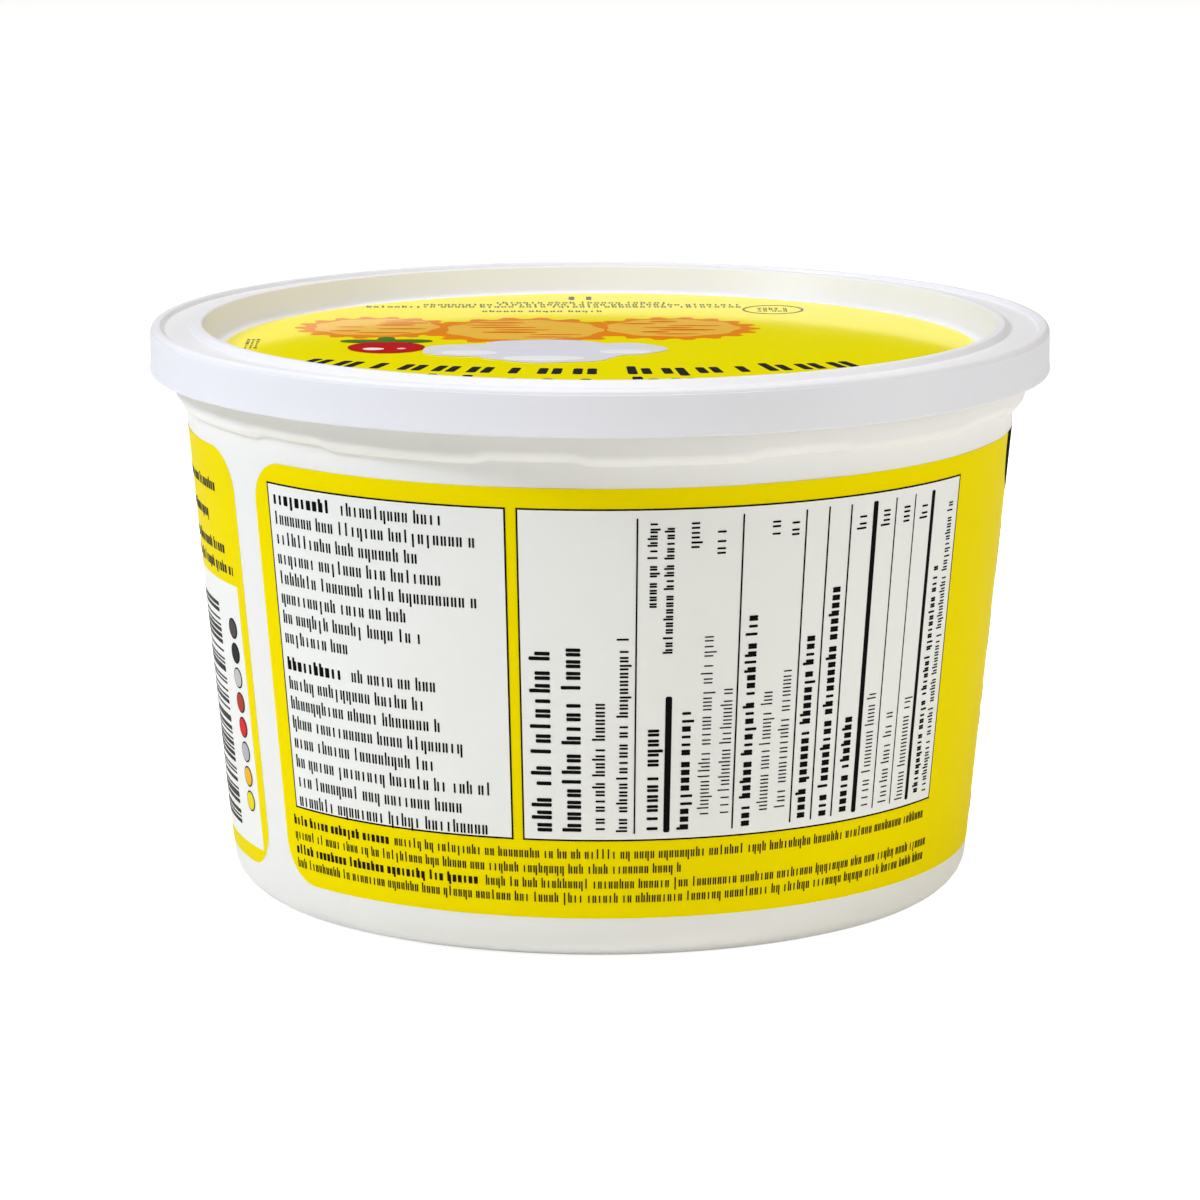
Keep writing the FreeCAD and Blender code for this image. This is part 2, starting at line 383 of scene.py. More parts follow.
polypropylene = bpy.data.materials.new("moulded_white_polypropylene")
polypropylene.use_nodes = True
tree = polypropylene.node_tree
tree.nodes.clear()
place = add_node(tree, "ShaderNodeTexCoord")
flow = add_node(
    tree,
    "ShaderNodeTexNoise",
    {
        "Vector": place.outputs["Object"],
        "Scale": 1000 / FLOW_MARK_MM,
        "Detail": 3.0,
    },
)
tone = add_node(
    tree,
    "ShaderNodeMix",
    {
        0: flow.outputs["Fac"],
        6: colour("#EEEDE6"),
        7: colour("#F2F1EB"),
    },
    data_type="RGBA",
)
gloss = add_node(
    tree,
    "ShaderNodeMapRange",
    {"Value": flow.outputs["Fac"], "To Min": 0.26, "To Max": 0.36},
)
peel = add_node(
    tree,
    "ShaderNodeTexNoise",
    {
        "Vector": place.outputs["Object"],
        "Scale": 1000 / ORANGE_PEEL_MM,
        "Detail": 2.0,
    },
)
relief = add_node(
    tree,
    "ShaderNodeBump",
    {
        "Height": peel.outputs["Fac"],
        "Strength": 0.12,
        "Distance": ORANGE_PEEL_DEPTH,
    },
)
surface = add_node(
    tree,
    "ShaderNodeBsdfPrincipled",
    {
        "Base Color": tone.outputs[2],
        "Roughness": gloss.outputs[0],
        "Normal": relief.outputs[0],
        "IOR": 1.49,
        "Specular IOR Level": 0.3,
        "Subsurface Weight": 0.06,
        "Subsurface Radius": (0.004, 0.0036, 0.003),
        "Subsurface Scale": 1.0,
    },
)
add_node(tree, "ShaderNodeOutputMaterial", {"Surface": surface.outputs[0]})
tub.data.materials.append(polypropylene)
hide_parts("tub")
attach(tub, "root")

# ---------------------------------------------------------------------------
# The lid.
# A thin press-on lid of white polyethylene, moulded in one piece: a sunk
# panel inside a raised bead, a flat brim, an outer bead, and a skirt that
# flares a little at its edge, with a bead inside that snaps under the rim.
# ---------------------------------------------------------------------------
LID_STEPS = 360

lid = turn_profile(
    "lid_shell",
    [
        (0, 86.1, 0),  # under the panel
        (63.0, 86.1, 0.4),
        (64.36, 89.6, 0.3),  # on the rim
        (71.6, 89.6, 0.4),
        (71.6, 86.55, 0.3),
        (71.12, 85.9, 0.4),  # the bead that snaps under the rim
        (71.6, 85.2, 0.3),
        (71.6, 83.9, 0.2),
        (72.67, 83.9, 0.25),  # the skirt's flared edge
        (72.68, 84.5, 1.0),
        (72.6, 85.6, 2.0),
        (72.57, 90.28, 0.04),  # a fine parting step at the top of the skirt
        (72.49, 90.34, 0.04),
        (72.43, 91.2, 0.8),  # the outer bead
        (70.95, 91.2, 0.3),
        (70.62, 90.5, 0.12),  # the flat brim
        (66.25, 90.5, 0.25),
        (65.35, 91.45, 0.45),  # the inner bead
        (64.2, 91.45, 0.45),
        (62.3, 87.0, 0.9),  # the foot of the recess wall
        (0, 87.0, 0),  # the panel
    ],
    LID_STEPS,
)
finish_shading(lid)

# Polyethylene, moulded: softer and waxier than the tub, a cooler white, with
# broad waxy patches and fine scuffs from handling.
WAXY_PATCH_MM = 22.0
SCUFF_MM = 0.7
SCUFF_DEPTH = 0.08 * MM

polyethylene = bpy.data.materials.new("moulded_white_polyethylene")
polyethylene.use_nodes = True
tree = polyethylene.node_tree
tree.nodes.clear()
place = add_node(tree, "ShaderNodeTexCoord")
patch = add_node(
    tree,
    "ShaderNodeTexNoise",
    {
        "Vector": place.outputs["Object"],
        "Scale": 1000 / WAXY_PATCH_MM,
        "Detail": 3.0,
    },
)
tone = add_node(
    tree,
    "ShaderNodeMix",
    {
        0: patch.outputs["Fac"],
        6: colour("#E9E9EC"),
        7: colour("#EEEEF0"),
    },
    data_type="RGBA",
)
gloss = add_node(
    tree,
    "ShaderNodeMapRange",
    {"Value": patch.outputs["Fac"], "To Min": 0.34, "To Max": 0.46},
)
scuff = add_node(
    tree,
    "ShaderNodeTexNoise",
    {
        "Vector": place.outputs["Object"],
        "Scale": 1000 / SCUFF_MM,
        "Detail": 3.0,
    },
)
relief = add_node(
    tree,
    "ShaderNodeBump",
    {"Height": scuff.outputs["Fac"], "Strength": 0.12, "Distance": SCUFF_DEPTH},
)
surface = add_node(
    tree,
    "ShaderNodeBsdfPrincipled",
    {
        "Base Color": tone.outputs[2],
        "Roughness": gloss.outputs[0],
        "Normal": relief.outputs[0],
        "IOR": 1.51,
        "Specular IOR Level": 0.25,
        "Subsurface Weight": 0.05,
        "Subsurface Radius": (0.003, 0.003, 0.003),
        "Subsurface Scale": 1.0,
    },
)
add_node(tree, "ShaderNodeOutputMaterial", {"Surface": surface.outputs[0]})
lid.data.materials.append(polyethylene)
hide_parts("lid")
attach(lid, "root")

# ---------------------------------------------------------------------------
# The wrap-round label.
# A printed polypropylene film, 0.06 mm thick, laid in the mould and fused to
# the wall. It goes all round but for one white gap, where its ends are
# rounded. It is drawn flat, as it is printed, and then laid round the wall.
# ---------------------------------------------------------------------------
FILM = 0.06 * MM
INK = 0.04 * MM
INK_RELIEF = 0.05 * MM
SUNK = 0.02 * MM

# The flat print keeps its true width where the wall has this radius. It is
# cut in strips, narrow enough to bend round the wall.
PRINT_RADIUS = 63.3 * MM
MM_PER_DEG = PRINT_RADIUS / MM * math.pi / 180
STRIP = 3.0 * MM

LABEL_LOW = 7.03 * MM
LABEL_HIGH = 75.2 * MM
LABEL_START_DEG = -54.1
LABEL_END_DEG = 299.9
LABEL_CORNER = 7.0 * MM
CORNER_FACETS = 10
PRINT_CREASE_DEG = 30


def along(turn_deg):
    """The place along the flat print, in metres, of a turn round the wall in
    degrees."""
    return turn_deg * MM_PER_DEG * MM


def along_mm(turn_deg):
    """The same place in millimetres."""
    return along(turn_deg) / MM


def cut_in_strips(piece):
    """Cuts a flat field across, so that it can bend round the wall."""
    bpy.ops.object.mode_set(mode="OBJECT")
    spread = [v.co.x for v in piece.data.vertices]
    bpy.ops.object.mode_set(mode="EDIT")
    count = math.ceil((max(spread) - min(spread)) / STRIP)
    for n in range(1, count):
        cut = min(spread) + (max(spread) - min(spread)) * n / count
        bpy.ops.mesh.select_all(action="SELECT")
        bpy.ops.mesh.bisect(plane_co=(cut, 0, 0), plane_no=(1, 0, 0))


def thicken(piece, thickness):
    """Gives a flat field its thickness."""
    bpy.ops.mesh.select_all(action="SELECT")
    bpy.ops.mesh.extrude_region_move(
        TRANSFORM_OT_translate={"value": (0, 0, thickness)}
    )
    bpy.ops.mesh.select_all(action="SELECT")
    bpy.ops.mesh.normals_make_consistent(inside=False)
    bpy.ops.object.mode_set(mode="OBJECT")


def flat_field(name, left, right, low, high, under, over, corner=0.0):
    """A flat field of the print, from one height off the wall to another, with
    its corners rounded."""
    clear_selection()
    bpy.ops.mesh.primitive_plane_add(
        size=1, location=((left + right) / 2, (low + high) / 2, under)
    )
    field = bpy.context.object
    field.name = name
    field.scale = (right - left, high - low, 1)
    bpy.ops.object.transform_apply(location=True, rotation=True, scale=True)
    bpy.ops.object.mode_set(mode="EDIT")
    bpy.ops.mesh.select_all(action="SELECT")
    if corner:
        bpy.ops.mesh.bevel(
            offset=corner, segments=CORNER_FACETS, affect="VERTICES"
        )
    cut_in_strips(field)
    thicken(field, over - under)
    return field


def lay_round_wall(piece):
    """Lays a flat drawing round the wall: x goes round, y up, and z off the wall."""
    mesh = piece.data
    places = np.empty(len(mesh.vertices) * 3)
    mesh.vertices.foreach_get("co", places)
    x, y, z = places.reshape(-1, 3).T
    turn = x / PRINT_RADIUS
    radius = WALL_FOOT_RADIUS + WALL_SLOPE * y + z
    laid = np.column_stack([radius * np.sin(turn), -radius * np.cos(turn), y])
    mesh.vertices.foreach_set("co", laid.ravel())
    mesh.update()


def join(name, pieces):
    """Joins pieces of one print colour into one."""
    take(pieces[0])
    for piece in pieces[1:]:
        piece.select_set(True)
    if len(pieces) > 1:
        bpy.ops.object.join()
    joined = bpy.context.object
    joined.name = name
    return joined


def print_ink(name, code, mottle=0.04, roughness=0.30, shine=0.02, mottle_mm=3.0):
    """Offset ink under a thin varnish: one colour, a little uneven in tone and
    gloss, as print is, with so little mirror shine that it stays deep."""
    ink = bpy.data.materials.new(name)
    ink.use_nodes = True
    tree = ink.node_tree
    tree.nodes.clear()
    place = add_node(tree, "ShaderNodeTexCoord")
    cloud = add_node(
        tree,
        "ShaderNodeTexNoise",
        {
            "Vector": place.outputs["Object"],
            "Scale": 1000 / mottle_mm,
            "Detail": 3.0,
        },
    )
    full = colour(code)
    thin = tuple(c * (1 - mottle) for c in full[:3]) + (1.0,)
    tone = add_node(
        tree,
        "ShaderNodeMix",
        {0: cloud.outputs["Fac"], 6: thin, 7: full},
        data_type="RGBA",
    )
    gloss = add_node(
        tree,
        "ShaderNodeMapRange",
        {
            "Value": cloud.outputs["Fac"],
            "To Min": roughness * 0.9,
            "To Max": roughness * 1.15,
        },
    )
    relief = add_node(
        tree,
        "ShaderNodeBump",
        {
            "Height": cloud.outputs["Fac"],
            "Strength": 0.08,
            "Distance": INK_RELIEF,
        },
    )
    surface = add_node(
        tree,
        "ShaderNodeBsdfPrincipled",
        {
            "Base Color": tone.outputs[2],
            "Roughness": gloss.outputs[0],
            "Normal": relief.outputs[0],
            "IOR": 1.48,
            "Specular IOR Level": shine,
        },
    )
    add_node(tree, "ShaderNodeOutputMaterial", {"Surface": surface.outputs[0]})
    return ink


def apply_print(piece, ink):
    """Gives a finished piece of the print its ink and fixes it to the tub or lid."""
    take(piece)
    bpy.ops.object.shade_smooth_by_angle(angle=math.radians(PRINT_CREASE_DEG))
    piece.data.materials.clear()
    piece.data.materials.append(ink)
    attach(piece, "root")


# Process yellow, printed solid: full and even, with the softest sheen.
yellow_ink = print_ink(
    "yellow_label_ink", "#F8E200", mottle=0.02, roughness=0.36, shine=0.004
)
label = flat_field(
    "label_yellow",
    along(LABEL_START_DEG),
    along(LABEL_END_DEG),
    LABEL_LOW,
    LABEL_HIGH,
    -SUNK,
    FILM,
    corner=LABEL_CORNER,
)
lay_round_wall(label)
apply_print(label, yellow_ink)

# ---------------------------------------------------------------------------
# The white panels.
# Three fields of the label's film are left white, without the yellow: two for
# text, each with a thin outline in black ink, and one for the bar code.
# ---------------------------------------------------------------------------
PANEL_LOW = 19.8 * MM
PANEL_HIGH = 71.8 * MM
TEXT_PANEL = (along(-50.7), along(-12.7))
TABLE_PANEL = (along(-10.8), along(57.6))
CODE_PANEL = (along(-106), along(-62.2))
CODE_LOW = 9.8 * MM
CODE_HIGH = 53.0 * MM
OUTLINE = 0.28 * MM

# The bare white film is glossier than ink. Black ink is thin and a little
# uneven.
white_film = print_ink("white_label_film", "#F4F4ED", mottle=0.02, shine=0.15)
black_ink = print_ink("black_label_ink", "#151213", mottle=0.2, shine=0.01)

panels = [
    flat_field("panel", *span, low, high, 0, FILM + INK)
    for span, low, high in (
        (TEXT_PANEL, PANEL_LOW, PANEL_HIGH),
        (TABLE_PANEL, PANEL_LOW, PANEL_HIGH),
        (CODE_PANEL, CODE_LOW, CODE_HIGH),
    )
]
white_panels = join("label_white_panels", panels)
lay_round_wall(white_panels)
apply_print(white_panels, white_film)

outlines = []
for left, right in (TEXT_PANEL, TABLE_PANEL):
    for side in (
        (left - OUTLINE, right + OUTLINE, PANEL_HIGH, PANEL_HIGH + OUTLINE),
        (left - OUTLINE, right + OUTLINE, PANEL_LOW - OUTLINE, PANEL_LOW),
        (left - OUTLINE, left, PANEL_LOW, PANEL_HIGH),
        (right, right + OUTLINE, PANEL_LOW, PANEL_HIGH),
    ):
        outlines.append(flat_field("outline", *side, FILM - SUNK, FILM + INK))
outline = join("label_outlines", outlines)
lay_round_wall(outline)
apply_print(outline, black_ink)

# ---------------------------------------------------------------------------
# The small print.
# Rows of marks in black and dark brown ink stand in for words: upright
# strokes of the height and weight of small type, which spell nothing.
# ---------------------------------------------------------------------------
TEXT_SEED = 7
STROKE_CHAMFER = 0.22

# Most letters are small ones. Some are tall or have a tail, and some are a
# single stroke. Their strokes stand at these shares of the letter's pitch.
SMALL_HEIGHT = 0.73
TAIL_DEPTH = 0.27
CAPITAL_CHANCE = 0.3
TALL_CHANCE = 0.2
TALL_OR_TAIL_CHANCE = 0.28
SINGLE_CHANCE = 0.24
SINGLE_AT = 0.42
LEFT_AT = 0.1
RIGHT_AT = 0.78
WORD_GAP = 0.55

chance = random.Random(TEXT_SEED)

clear_selection()
bpy.ops.mesh.primitive_cube_add(size=1)
stroke_shape = bpy.context.object
bpy.ops.object.mode_set(mode="EDIT")
bpy.ops.mesh.select_all(action="DESELECT")
bpy.ops.object.mode_set(mode="OBJECT")
for edge in stroke_shape.data.edges:
    ends = [stroke_shape.data.vertices[i].co for i in edge.vertices]
    edge.select = abs(ends[0].z - ends[1].z) > 0.5
bpy.ops.object.mode_set(mode="EDIT")
bpy.ops.mesh.select_mode(type="EDGE")
bpy.ops.mesh.bevel(offset=STROKE_CHAMFER, segments=1, affect="EDGES")
bpy.ops.object.mode_set(mode="OBJECT")


def stamp_strokes(name, strokes, under, over):
    """Copies the stroke once for each (left, right, low, high) in mm, into one
    flat piece. The cut corners keep their shape however long the stroke is."""
    shape = stroke_shape.data
    corners = np.array([v.co for v in shape.vertices])
    faces = [tuple(p.vertices) for p in shape.polygons]
    points, polygons = [], []
    for left, right, low, high in strokes:
        size = np.array([right - left, high - low])
        thin = size.min()
        side = np.sign(corners[:, :2])
        flat = side * size / 2 - side * (0.5 - np.abs(corners[:, :2])) * thin
        flat += np.array([left + right, low + high]) / 2
        height = np.where(corners[:, 2] > 0, over, under)
        first = len(points) * len(corners)
        points.append(np.column_stack([flat * MM, height]))
        polygons += [tuple(first + i for i in face) for face in faces]
    mesh = bpy.data.meshes.new(name)
    mesh.from_pydata(np.concatenate(points).tolist(), [], polygons)
    piece = bpy.data.objects.new(name, mesh)
    bpy.context.scene.collection.objects.link(piece)
    return piece


def set_words(start, end, base, tall, pitch, weight, words=(2, 10)):
    """One line of marks in mm, from start to end, standing on base. Words have
    from the first to the second number of letters, of one or two strokes."""
    strokes = []
    small = tall * SMALL_HEIGHT
    x = start
    while end - x > pitch:
        letters = min(chance.randint(*words), int((end - x) / pitch))
        for n in range(letters):
            left = x + n * pitch
            high = tall if n == 0 and chance.random() < CAPITAL_CHANCE else small
            low = 0.0
            kind = chance.random()
            if kind < TALL_CHANCE:
                high = tall
            elif kind < TALL_OR_TAIL_CHANCE:
                low = -tall * TAIL_DEPTH
            if chance.random() < SINGLE_CHANCE:
                middle = left + pitch * SINGLE_AT
                strokes.append(
                    (middle - weight / 2, middle + weight / 2, base + low, base + high)
                )
            else:
                first = left + pitch * LEFT_AT
                strokes.append((first, first + weight, base, base + high))
                second = left + pitch * RIGHT_AT
                strokes.append((second - weight, second, base + low, base + small))
        x += (letters + WORD_GAP) * pitch
    return strokes


def turn_upwards(strokes, column, row_start):
    """Turns a line of marks to read from the bottom up, standing on an upright
    line."""
    return [
        (column - high, column - low, row_start + left, row_start + right)
        for left, right, low, high in strokes
    ]


# The first panel holds two paragraphs of eight lines, each with a heavy first
# word. Each line ends at a share of the panel's width. A size of type is the
# height, pitch and stroke of its letters, in mm, and may give the number of
# letters in a word.
PARAGRAPHS = (
    (68.7, (0.79, 0.90, 0.68, 0.77, 0.92, 0.65, 0.70, 0.38)),
    (42.2, (0.73, 0.68, 0.76, 0.83, 0.73, 0.95, 0.84, 0.95)),
)
LINE_PITCH = 3.17
TEXT_MARGIN = 0.9
HEAVY_WORD = 13.2
HEAVY_WORD_ROOM = 14.2
PARAGRAPH_TYPE = (2.1, 1.22, 0.30)
HEAVY_TYPE = (2.1, 1.25, 0.48, (10, 10))
panel_left = TEXT_PANEL[0] / MM
panel_width = (TEXT_PANEL[1] - TEXT_PANEL[0]) / MM
strokes = []
for first_base, line_ends in PARAGRAPHS:
    for n, share in enumerate(line_ends):
        base = first_base - n * LINE_PITCH
        start = panel_left + TEXT_MARGIN
        end = panel_left + panel_width * share
        if n == 0:
            strokes += set_words(start, start + HEAVY_WORD, base, *HEAVY_TYPE)
            start += HEAVY_WORD_ROOM
        strokes += set_words(start, end, base, *PARAGRAPH_TYPE)

# The second panel is a table turned to read upwards: (top of the letters,
# line they stand on, start, end, stroke, letter pitch), in mm from its corner.
TABLE_ROWS = (
    (1.2, 4.4, 1.0, 31.5, 0.58, 2.0),
    (6.0, 9.0, 1.1, 32.6, 0.55, 1.85),
    (10.7, 12.7, 1.2, 23.2, 0.31, 1.25),
    (14.4, 16.2, 1.1, 32.8, 0.31, 1.25),
    (18.6, 21.0, 1.0, 18.9, 0.46, 1.6),
    (18.8, 20.3, 36.7, 50.5, 0.30, 1.05),
    (21.3, 22.8, 29.4, 50.5, 0.30, 1.05),
    (24.0, 25.9, 1.2, 21.2, 0.42, 1.25),
    (24.8, 26.5, 45.8, 50.4, 0.31, 1.5),
    (27.2, 29.1, 3.2, 32.4, 0.21, 1.2),
    (28.7, 30.5, 44.7, 50.4, 0.31, 1.5),
    (30.5, 32.4, 3.2, 24.5, 0.21, 1.2),
    (34.1, 36.0, 1.1, 36.7, 0.42, 1.25),
    (37.1, 39.0, 3.4, 23.3, 0.21, 1.2),
    (37.2, 39.0, 46.8, 50.8, 0.31, 1.5),
    (40.2, 42.1, 3.3, 26.6, 0.21, 1.2),
    (40.4, 42.1, 46.8, 50.8, 0.31, 1.5),
    (44.0, 45.9, 1.4, 31.5, 0.42, 1.25),
    (48.1, 50.0, 1.2, 39.7, 0.42, 1.25),
    (52.2, 54.1, 1.3, 17.6, 0.42, 1.25),
    (52.3, 54.1, 46.5, 50.8, 0.31, 1.5),
    (56.9, 58.8, 1.3, 20.2, 0.21, 1.2),
    (57.0, 58.8, 46.5, 50.8, 0.31, 1.5),
    (61.2, 63.1, 1.2, 17.4, 0.21, 1.2),
    (61.3, 63.1, 46.5, 50.8, 0.31, 1.5),
    (65.4, 67.3, 1.2, 18.6, 0.21, 1.2),
    (65.5, 67.3, 46.5, 50.8, 0.31, 1.5),
    (70.1, 71.6, 1.5, 39.2, 0.31, 0.98),
    (72.7, 74.2, 1.1, 49.2, 0.24, 0.98),
)
# The rules between its rows: (left, right, start, end).
TABLE_RULES = (
    (17.2, 17.45, 0.9, 50.8),
    (21.9, 22.9, 1.0, 22.7),
    (33.0, 33.25, 1.0, 50.9),
    (43.1, 43.35, 1.0, 50.8),
    (47.0, 47.25, 1.0, 50.9),
    (51.0, 51.25, 1.0, 50.8),
    (55.3, 56.2, 1.0, 50.8),
    (59.9, 60.1, 1.0, 50.8),
    (64.1, 64.3, 1.0, 50.8),
    (68.2, 68.95, 0.9, 50.8),
)
table_left = TABLE_PANEL[0] / MM
table_low = PANEL_LOW / MM
for top, base, start, end, weight, pitch in TABLE_ROWS:
    row = set_words(0, end - start, 0, base - top, pitch, weight)
    strokes += turn_upwards(row, table_left + base, table_low + start)
for left, right, start, end in TABLE_RULES:
    strokes.append(
        (table_left + left, table_left + right, table_low + start, table_low + end)
    )
panel_print = stamp_strokes(
    "label_panel_print", strokes, FILM + INK - SUNK, FILM + 2 * INK
)
lay_round_wall(panel_print)
apply_print(panel_print, black_ink)

# Four narrow lines run under both panels, straight on the yellow: (base, end
# in degrees, length of their heavy words). Four short ones stand above the bar
# code: (base, end in degrees). Their dark ink is browner, with yellow under it.
FOOT_START_DEG = -51.8
FOOT_LINES = (
    (16.7, 57.7, 22.0),
    (14.3, 12.6, 0.0),
    (11.9, 58.3, 38.0),
    (9.6, 57.9, 0.0),
)
FOOT_TYPE = (1.6, 0.86, 0.22, (2, 9))
FOOT_HEAVY_TYPE = (1.6, 0.92, 0.36, (3, 8))
FOOT_HEAVY_GAP = 0.6
SHORT_START_DEG = -106
SHORT_LINES = ((67.6, -65.9), (62.6, -70.2), (57.8, -64.9), (54.6, -62.6))
SHORT_TYPE = (1.9, 1.1, 0.34, (3, 9))
dark_ink = print_ink("dark_ink_on_yellow", "#2A2113", mottle=0.15, shine=0.01)
strokes = []
for base, end_deg, heavy in FOOT_LINES:
    start = along_mm(FOOT_START_DEG)
    if heavy:
        strokes += set_words(start, start + heavy, base, *FOOT_HEAVY_TYPE)
        start += heavy + FOOT_HEAVY_GAP
    strokes += set_words(start, along_mm(end_deg), base, *FOOT_TYPE)
for base, end_deg in SHORT_LINES:
    strokes += set_words(
        along_mm(SHORT_START_DEG), along_mm(end_deg), base, *SHORT_TYPE
    )
yellow_print = stamp_strokes("label_small_print", strokes, FILM - SUNK, FILM + INK)
lay_round_wall(yellow_print)
apply_print(yellow_print, dark_ink)

# ---------------------------------------------------------------------------
# The bar code and the print test dots.
# A bar code turned on its side, of bars in no real code, and a column of
# eight outlined dots in the label's inks, by which the printer checks them.
# ---------------------------------------------------------------------------
BARS_FROM = 12.2
BARS_TO = 49.0
BARS_LEFT = along_mm(-101)
BARS_RIGHT = along_mm(-71.2)
BAR_WIDTHS = (0.33, 0.33, 0.66, 0.99)

strokes = []
height = BARS_FROM
while height < BARS_TO:
    bar = chance.choice(BAR_WIDTHS)
    strokes.append((BARS_LEFT, BARS_RIGHT, height, height + bar))
    height += bar + chance.choice(BAR_WIDTHS)
bar_code = stamp_strokes(
    "label_bar_code", strokes, FILM + INK - SUNK, FILM + 2 * INK
)
take(bar_code)
cut_in_strips(bar_code)
bpy.ops.object.mode_set(mode="OBJECT")
lay_round_wall(bar_code)
apply_print(bar_code, black_ink)

DOT_TURN_DEG = -65.4
DOT_RADIUS = 1.45 * MM
DOT_RIM_RADIUS = 1.7 * MM
# Each dot's height on the wall, and its ink.
DOTS = (
    (45.7, "dot_ink_brown_grey", "#4A4340"),
    (41.65, "dot_ink_black", "#1D1A1B"),
    (37.6, "dot_ink_stone", "#C9C6C0"),
    (33.55, "dot_ink_rust", "#AF3A14"),
    (29.5, "dot_ink_red", "#DC1A10"),
    (25.45, "dot_ink_silver", "#B9BBB9"),
    (21.4, "dot_ink_amber", "#F6B714"),
    (17.35, "dot_ink_yellow", "#F4DD05"),
)


def flat_disc(name, x, y, radius, under, points=32):
    """A flat round field of the print, left in edit mode to be worked on."""
    clear_selection()
    bpy.ops.mesh.primitive_circle_add(
        vertices=points, radius=radius, fill_type="NGON", location=(x, y, under)
    )
    disc = bpy.context.object
    disc.name = name
    bpy.ops.object.transform_apply(location=True, rotation=True, scale=True)
    bpy.ops.object.mode_set(mode="EDIT")
    return disc


rims = []
for height, name, code in DOTS:
    place = (along(DOT_TURN_DEG), height * MM)
    rim = flat_disc("rim", *place, DOT_RIM_RADIUS, FILM + INK - SUNK)
    thicken(rim, INK + SUNK)
    rims.append(rim)
    dot = flat_disc(
        "label_" + name, *place, DOT_RADIUS, FILM + 2 * INK - SUNK
    )
    thicken(dot, INK + SUNK)
    lay_round_wall(dot)
    apply_print(dot, print_ink(name, code))
dot_rims = join("label_dot_rims", rims)
lay_round_wall(dot_rims)
apply_print(dot_rims, black_ink)

# ---------------------------------------------------------------------------
# The front of the label, turned away.
# Generic pack art, printed on the same film: a charcoal band across the top
# with pale words on it, a large tart under a swirl of cream and a berry, and
# heading words on each side.
# ---------------------------------------------------------------------------
BAND_START_DEG = 77.9
BAND_END_DEG = 240.0
BAND_LOW = 64.4 * MM
BAND_CORNER = 9.0 * MM
BAND_CORNER_FACETS = 12

# Charcoal is a dense matt ink. The picture's inks have a little varnish shine,
# and those of the crust, filling, berry and leaves are mottled like them.
ART_SHINE = 0.05
charcoal_ink = print_ink("charcoal_label_ink", "#262324", mottle=0.1, shine=0.0)
crust_ink = print_ink(
    "crust_label_ink", "#E0851F", mottle=0.3, shine=ART_SHINE, mottle_mm=5.0
)
crumb_ink = print_ink("filling_label_ink", "#F3AE3E", mottle=0.25, shine=ART_SHINE)
cream_ink = print_ink("cream_label_ink", "#F3F1EA", mottle=0.03, shine=ART_SHINE)
cream_shade_ink = print_ink(
    "cream_shade_label_ink", "#C9CBD2", mottle=0.08, shine=ART_SHINE
)
berry_ink = print_ink("berry_label_ink", "#C81E22", mottle=0.3, shine=ART_SHINE)
leaf_ink = print_ink("leaf_label_ink", "#4D8A2C", mottle=0.25, shine=ART_SHINE)

clear_selection()
bpy.ops.mesh.primitive_plane_add(size=1, location=(0, 0, FILM - SUNK))
band = bpy.context.object
band.name = "label_charcoal_band"
band.scale = (along(BAND_END_DEG - BAND_START_DEG), LABEL_HIGH - BAND_LOW, 1)
band.location.x = along((BAND_START_DEG + BAND_END_DEG) / 2)
band.location.y = (LABEL_HIGH + BAND_LOW) / 2
bpy.ops.object.transform_apply(location=True, rotation=True, scale=True)
pick_points(band, lambda x, y, z: y < (BAND_LOW + LABEL_HIGH) / 2)
bpy.ops.mesh.bevel(
    offset=BAND_CORNER, segments=BAND_CORNER_FACETS, affect="VERTICES"
)
cut_in_strips(band)
thicken(band, INK + SUNK)
lay_round_wall(band)
apply_print(band, charcoal_ink)


def lay_strokes(name, strokes, under, over, ink):
    """Stamps large strokes, cuts and bends them round the wall and prints them."""
    row = stamp_strokes(name, strokes, under, over)
    take(row)
    cut_in_strips(row)
    bpy.ops.object.mode_set(mode="OBJECT")
    lay_round_wall(row)
    apply_print(row, ink)


# Each line is (base, start in degrees, end in degrees).
BAND_TYPE = (4.6, 2.9, 0.85, (4, 8))
BAND_LINES = ((67.6, 88, 150), (67.6, 170, 230))
HEADING_TYPE = (8.6, 5.4, 1.55, (6, 8))
HEADING_LINES = (
    (50.5, 84.0, 128.0),
    (38.0, 84.0, 122.0),
    (50.5, 194.0, 238.0),
    (38.0, 199.0, 236.0),
)
UNDER_HEADING_TYPE = (2.6, 1.7, 0.42, (3, 8))
UNDER_HEADING_LINES = (
    (29.5, 84.0, 124.0),
    (25.5, 84.0, 116.0),
    (29.5, 196.0, 236.0),
    (25.5, 200.0, 232.0),
    (11.5, 84.0, 112.0),
    (11.5, 208.0, 236.0),
)
band_words = []
for base, start_deg, end_deg in BAND_LINES:
    band_words += set_words(along_mm(start_deg), along_mm(end_deg), base, *BAND_TYPE)
lay_strokes(
    "label_band_words", band_words, FILM + INK - SUNK, FILM + 2 * INK, cream_ink
)
heading = []
for lines, size_of_type in (
    (HEADING_LINES, HEADING_TYPE),
    (UNDER_HEADING_LINES, UNDER_HEADING_TYPE),
):
    for base, start_deg, end_deg in lines:
        heading += set_words(
            along_mm(start_deg), along_mm(end_deg), base, *size_of_type
        )
lay_strokes("label_heading", heading, FILM - SUNK, FILM + INK, charcoal_ink)

# A picture is built of ovals, each on its own layer of ink, so that no two
# lie in one plane. The edge of a fluted oval is pulled in twice in each flute,
# over a wide share of it and then over a narrow one.
ART_STEP = 0.02 * MM
OVAL_POINTS = 48
POINTS_PER_FLUTE = 8
FLUTE_SHARES = (0.8, 0.45)


